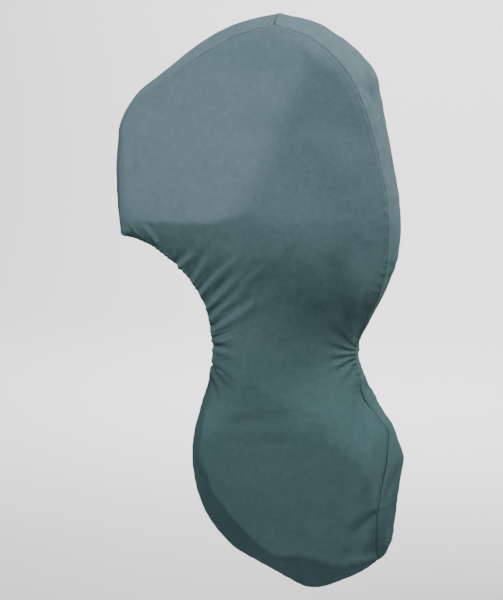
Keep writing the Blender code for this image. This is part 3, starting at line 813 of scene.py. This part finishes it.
def stitches_along(line, normals):
    """Rings of places for each stitch: along the line, and round the thread."""
    far = far_along(line, 0)
    middles = np.arange(PITCH, far[-1] - PITCH, PITCH)

    def at(values, reach):
        return np.stack([np.interp(reach, far, values[:, axis]) for axis in range(3)], axis=1)

    run = unit(at(line, middles + STITCH / 2) - at(line, middles - STITCH / 2))
    up = unit(at(normals, middles))
    side = np.cross(run, up)
    rings = []
    for share, thickness in BEAD:
        lift = THREAD * (THREAD_LIFT - THREAD_DIP * share**4)
        middle = at(line, middles) + run * share * STITCH / 2 + up * lift
        for turn in np.arange(SIDES) * 2 * math.pi / SIDES:
            rings.append(middle + THREAD * thickness * (up * math.sin(turn) + side * math.cos(turn)))
    return np.stack(rings, axis=1)


def stitching(name, lines):
    """All the stitches of some lines as one piece."""
    rings = np.concatenate([stitches_along(line, normals) for line, normals in lines])
    last, size = len(BEAD) - 1, len(BEAD) * SIDES
    ring, turn = np.meshgrid(np.arange(last), np.arange(SIDES), indexing="ij")
    corner, after = ring * SIDES + turn, ring * SIDES + (turn + 1) % SIDES
    sleeve = np.stack([corner, after, after + SIDES, corner + SIDES], axis=-1).reshape(-1, 4)
    ends = [list(range(SIDES))[::-1], list(range(last * SIDES, size))]
    faces = []
    for start in range(0, len(rings) * size, size):
        faces += (sleeve + start).tolist() + [[start + corner for corner in end] for end in ends]
    mesh = bpy.data.meshes.new(name)
    mesh.from_pydata(rings.reshape(-1, 3).tolist(), [], faces)
    mesh.shade_smooth()
    piece = in_scene(name, mesh)
    print(name, len(rings), "stitches")
    return piece


def panel_stitching(name, grid, side):
    """The stitches along both edges of a panel."""
    turned = BEND_STEPS + TAIL_STEPS
    hem = within(*HEM_SEWN, panel_ribs)
    sewn = (panel_ribs > SEWN_RIBS[0]) & (panel_ribs < SEWN_RIBS[1])
    lines = []
    for column, inwards, insets in (
        (turned, 1, SEAM_INSET + (HEM_INSET - SEAM_INSET) * hem),
        (grid.shape[1] - 1 - turned, -1, np.full(len(grid), SEAM_INSET)),
    ):
        line, normals = stitch_line(grid, column, inwards, insets, (0, side, 0))
        lines.append((line[sewn], normals[sewn]))
    return stitching(name, lines)


port_thread = panel_stitching("port_stitching", port_grid, PORT)
starboard_thread = panel_stitching("starboard_stitching", starboard_grid, STARBOARD)

# %% [markdown]
# ## Cloth
# Coated polyester is an even weave under a thin matt coating. Its dye is never quite even, cloth that
# looks up gets a painted sheen, lighter and greyer, and cloth that looks down gets painted shade. The weave
# only shows from near by.


# %% Expressions that build shader nodes
class Value:
    """One output of a material's nodes, on which + - and * add Math nodes."""

    def __init__(self, shade, socket):
        self.shade, self.socket = shade, socket

    def maths(self, operation, *inputs):
        values = {index: value for index, value in enumerate(inputs)}
        return self.shade.add("ShaderNodeMath", {"operation": operation}, values)

    def clamped(self):
        return self.maths("MINIMUM", self.maths("MAXIMUM", self, 0.0), 1.0)

    def ramp(self, slope, start):
        return (self * slope + start).clamped()

    def __add__(self, other):
        return self.maths("ADD", self, other)

    def __sub__(self, other):
        return self.maths("SUBTRACT", self, other)

    def __rsub__(self, other):
        return self.maths("SUBTRACT", other, self)

    def __mul__(self, other):
        return self.maths("MULTIPLY", self, other)

    __radd__, __rmul__ = __add__, __mul__


class Shade:
    """A material under construction."""

    def __init__(self, name):
        self.material = bpy.data.materials.new(name)
        self.material.use_nodes = True
        self.tree = self.material.node_tree
        self.surface = self.tree.nodes["Principled BSDF"]

    def put(self, socket, value):
        if isinstance(value, Value):
            self.tree.links.new(value.socket, socket)
        else:
            socket.default_value = value

    def add(self, kind, settings=None, values=None, output=0):
        node = self.tree.nodes.new(kind)
        for name, setting in (settings or {}).items():
            setattr(node, name, setting)
        for name, value in (values or {}).items():
            self.put(node.inputs[name], value)
        return Value(self, node.outputs[output])

    def blotches(self, place, scale, detail):
        """Soft noise from 0 to 1."""
        values = {"Vector": place, "Scale": scale, "Detail": detail}
        return self.add("ShaderNodeTexNoise", {}, values, output="Fac")

    def layers(self, place, rows):
        """Blotches in layers: each row is a scale, a detail and a share."""
        first, *others = (self.blotches(place, scale, detail) * share for scale, detail, share in rows)
        return sum(others, first)

    def part(self, vector, axis):
        return self.add("ShaderNodeSeparateXYZ", {}, {"Vector": vector}, output=axis)

    def bump(self, height, strength, distance, **values):
        """The normal of a surface that height makes uneven."""
        values.update(Height=height, Strength=strength, Distance=distance)
        return self.add("ShaderNodeBump", {}, values, output="Normal")

    def finish(self, **values):
        for name, value in values.items():
            self.put(self.surface.inputs[name.replace("_", " ")], value)
        return self.material


print("shader maths ready")


# %% Coated polyester
THREADS_PER_METRE, SLUBS, FINE = 900, (40.0, 420.0, 1.0), (160.0, 2.0)
UNEVEN, GRAIN = ((3.2, 3.0, 0.6), (14.0, 3.0, 0.4)), ((46.0, 4.0, 0.55), (210.0, 2.0, 0.45))
CRINKLE = ((24.0, 4.0, 0.7), (70.0, 3.0, 0.3))
# slope and start of what grows with the tilt of the cloth, and with height
TILT_RAMP, LOOKS_DOWN_RAMP, COWL_RAMP, CROWN_RAMP = (1.2, 0.45), (-1.0, -0.15), (1.8, 1.96), (2.4, 1.008)
# shares of the lighter, greyer colour: painted sheen where the cloth looks up, less at the crown, then fade
# of the dye at random, fine and everywhere
PAINTED_SHEEN_SHARE, LESS_SHEEN_AT_CROWN, FADE_UNEVEN, FADE_FINE, FADE_ALL = 1.3, 0.45, 0.9, 0.45, 0.08
# base share of the dye, its grain at random, and painted shade where the cloth looks down
DYE_LEAST, DYE_GRAIN, PAINTED_UNDERSIDE_SHADE = 0.76, 0.48, 0.32
WEAVE_SHARE, WEAVE_BUMP, CRINKLE_BUMP = 0.35, (0.22, 0.0006), (0.8, 0.0036)


def coated_polyester(name, colour, sheen_and_faded):
    """Woven cloth with a matt coating, its dye a little uneven, with painted sheen where it looks up and
    painted shade where it looks down.
    """
    shade = Shade(name)
    place = shade.add("ShaderNodeTexCoord", output="Object")
    threads = shade.add("ShaderNodeUVMap", {"uv_map": "threads"})
    uneven = shade.layers(place, UNEVEN)

    # painted sheen: cloth that looks up is drawn lighter and greyer, most of it on the cowl, and the crown a
    # little less
    upward = shade.part(shade.add("ShaderNodeNewGeometry", output="Normal"), "Z")
    height = shade.part(place, "Z")
    crown = 1 - height.ramp(*CROWN_RAMP) * LESS_SHEEN_AT_CROWN
    painted_sheen = upward.ramp(*TILT_RAMP) * height.ramp(*COWL_RAMP) * crown
    sheen_and_fade = painted_sheen * PAINTED_SHEEN_SHARE + (uneven - 0.5) * FADE_UNEVEN
    sheen_and_fade = sheen_and_fade + (shade.blotches(place, *FINE) - 0.5) * FADE_FINE + FADE_ALL
    colours = {"Factor": sheen_and_fade.clamped(), 6: (*colour, 1), 7: (*sheen_and_faded, 1)}
    dye_and_sheen = shade.add("ShaderNodeMix", {"data_type": "RGBA"}, colours, output=2)
    # grain mottles the dye at random, and painted shade darkens cloth that looks down
    depth = DYE_LEAST + shade.layers(place, GRAIN) * DYE_GRAIN - upward.ramp(*LOOKS_DOWN_RAMP) * PAINTED_UNDERSIDE_SHADE
    mottled_sheen_and_shade = shade.add("ShaderNodeVectorMath", {"operation": "SCALE"}, {0: dye_and_sheen, "Scale": depth})

    # weave and slubs from near by, crinkles from further off
    def wave(axis):
        turn = shade.part(threads, axis) * (2 * math.pi * THREADS_PER_METRE)
        return turn.maths("SINE", turn)

    weave = wave("X") * wave("Y") * 0.5 + 0.5
    stretched = shade.add("ShaderNodeVectorMath", {"operation": "MULTIPLY"}, {0: threads, 1: SLUBS})
    relief = weave * WEAVE_SHARE + shade.blotches(stretched, 1.0, 2.0) * (1 - WEAVE_SHARE)
    crinkled = shade.bump(shade.layers(place, CRINKLE), *CRINKLE_BUMP)
    return shade.finish(
        Base_Color=mottled_sheen_and_shade,
        Roughness=0.62 + (uneven - 0.5) * 0.16,
        Normal=shade.bump(relief, *WEAVE_BUMP, Normal=crinkled),
        Specular_IOR_Level=0.0,
    )


# the dye, and the lighter, greyer colour that the painted sheen and the dye's random fade mix in
DYED, SHEEN_AND_FADED = (0.060, 0.112, 0.117), (0.099, 0.147, 0.167)
# the bands' copies of these colours are a little lighter, which is painted light on the bands
BAND_DYED_LIT, BAND_SHEEN_AND_FADED_LIT = (0.063, 0.117, 0.122), (0.107, 0.156, 0.176)
panel_cloth = coated_polyester("slate teal coated polyester, panels", DYED, SHEEN_AND_FADED)
band_cloth = coated_polyester("slate teal coated polyester, bands", BAND_DYED_LIT, BAND_SHEEN_AND_FADED_LIT)
for piece in (port, starboard):
    piece.data.materials.append(panel_cloth)
for piece in (forward, aft, lower):
    piece.data.materials.append(band_cloth)


PLIES_PER_METRE = 1500.0


def polyester_thread(name, colour):
    """Spun thread: its plies only show as a fine unevenness."""
    shade = Shade(name)
    plies = shade.blotches(shade.add("ShaderNodeTexCoord", output="Object"), PLIES_PER_METRE, 1.0)
    return shade.finish(
        Base_Color=(*colour, 1),
        Roughness=0.5 + plies * 0.2,
        Normal=shade.bump(plies, 0.4, 0.0002),
        Specular_IOR_Level=0.2,
    )


thread = polyester_thread("slate teal polyester thread", (0.050, 0.090, 0.096))
for piece in (port_thread, starboard_thread):
    piece.data.materials.append(thread)
print("materials", panel_cloth.name, "and", band_cloth.name)

# %% [markdown]
# ## Put each piece in place
# Each sheet takes the place of the plain solid that physics uses, hangs from the part's one body
# and says from what size of cloth it was cut.

# %% Sheets and bodies
CUTS = (
    (port, "side_panel_port", "panel_cloth", (0.92, 1.94), panel_area),
    (starboard, "side_panel_starboard", "panel_cloth", (0.92, 1.94), panel_area),
    (forward, "upper_band_forward", "band_cloth", (0.43, 0.99), forward_area),
    (aft, "upper_band_aft", "band_cloth", (0.39, 1.26), aft_area),
    (lower, "lower_band_aft", "band_cloth", (0.29, 0.74), lower_area),
)
for piece, node, slot, flat, area in CUTS:
    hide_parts(node)
    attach(piece, "root")
    min(area, flat[0] * flat[1])
    print(piece.name, "is cut from", flat, "area", round(area, 3))

for piece in (port_thread, starboard_thread):
    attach(piece, "root")

# %% [markdown]
# ## Studio
# Pale paper runs back under the cover and up behind it, with lights of its own, so that the
# background is bright while the cloth keeps its tone. The key light skims the front of the cowl
# from the upper left, through a grid that keeps it off the lower lobe. A second light picks out
# the aft bands.

# %% Paper sweep, lights and world
SWEEP_FRONT, SWEEP_BACK, SWEEP_RADIUS = -30.0, 16.0, 4.0
SWEEP_WIDTH, SWEEP_HEIGHT, SWEEP_DROP = 60.0, 24.0, 1.1


def paper_sweep(name):
    """A strip of paper: flat along the floor, round a quarter turn and straight up behind."""
    floor = cad_low[2] - SWEEP_DROP
    turns = np.linspace(0, math.pi / 2, 25)
    back = SWEEP_BACK - SWEEP_RADIUS + SWEEP_RADIUS * np.sin(turns)
    up = floor + SWEEP_RADIUS * (1 - np.cos(turns))
    profile = [(SWEEP_FRONT, floor), *zip(back.tolist(), up.tolist()), (SWEEP_BACK, floor + SWEEP_HEIGHT)]
    places = [(side * SWEEP_WIDTH / 2, y, z) for y, z in profile for side in (-1, 1)]
    quads = [(2 * row, 2 * row + 1, 2 * row + 3, 2 * row + 2) for row in range(len(profile) - 1)]
    mesh = bpy.data.meshes.new(name)
    mesh.from_pydata(places, [], quads)
    mesh.shade_smooth()
    return in_scene(name, mesh)


sweep = paper_sweep("paper_sweep")
paper = Shade("pale paper")
sweep.data.materials.append(paper.finish(Base_Color=(0.90, 0.90, 0.90, 1), Roughness=0.95))


def area_light(name, place, aim, size, watts, spread=180):
    data = bpy.data.lights.new(name, "AREA")
    data.shape, data.size, data.energy = "DISK", size, watts
    data.spread = math.radians(spread)
    light = in_scene(name, data)
    light.location = place
    light.rotation_euler = (Vector(aim) - Vector(place)).to_track_quat("-Z", "Y").to_euler()


area_light("key", (-0.7, -2.9, 2.1), (-0.15, 0, -0.40), 1.6, 40, 80)
area_light("aft", (2.6, 0.45, 1.2), (0.3, 0, -0.60), 1.4, 30, 90)
area_light("far side", (-0.6, 2.6, 2.0), (0, 0, -0.6), 1.6, 60)
area_light("paper, low", (0, 6.0, 5.0), (0, 16.0, -1.5), 9.0, 1700)
area_light("paper, high", (0, 6.0, 7.0), (0, 16.0, 5.0), 9.0, 1500)

world = bpy.data.worlds.new("studio")
bpy.context.scene.world = world
world.use_nodes = True
world.node_tree.nodes["Background"].inputs["Color"].default_value = (1, 1, 1, 1)
world.node_tree.nodes["Background"].inputs["Strength"].default_value = 0.32

AZIMUTH, ELEVATION, DISTANCE, AIM = math.radians(9), math.radians(8), 4.5, Vector((-0.103, 0, -0.878))
level = math.cos(ELEVATION)
back = Vector((math.sin(AZIMUTH) * level, -math.cos(AZIMUTH) * level, math.sin(ELEVATION)))
lens = bpy.data.cameras.new("camera")
lens.lens, lens.sensor_width = 86, 36
camera = in_scene("camera", lens)
camera.location = AIM + back * DISTANCE
camera.rotation_euler = (-back).to_track_quat("-Z", "Y").to_euler()
bpy.context.scene.camera = camera
print("camera at", [round(v, 3) for v in camera.location])
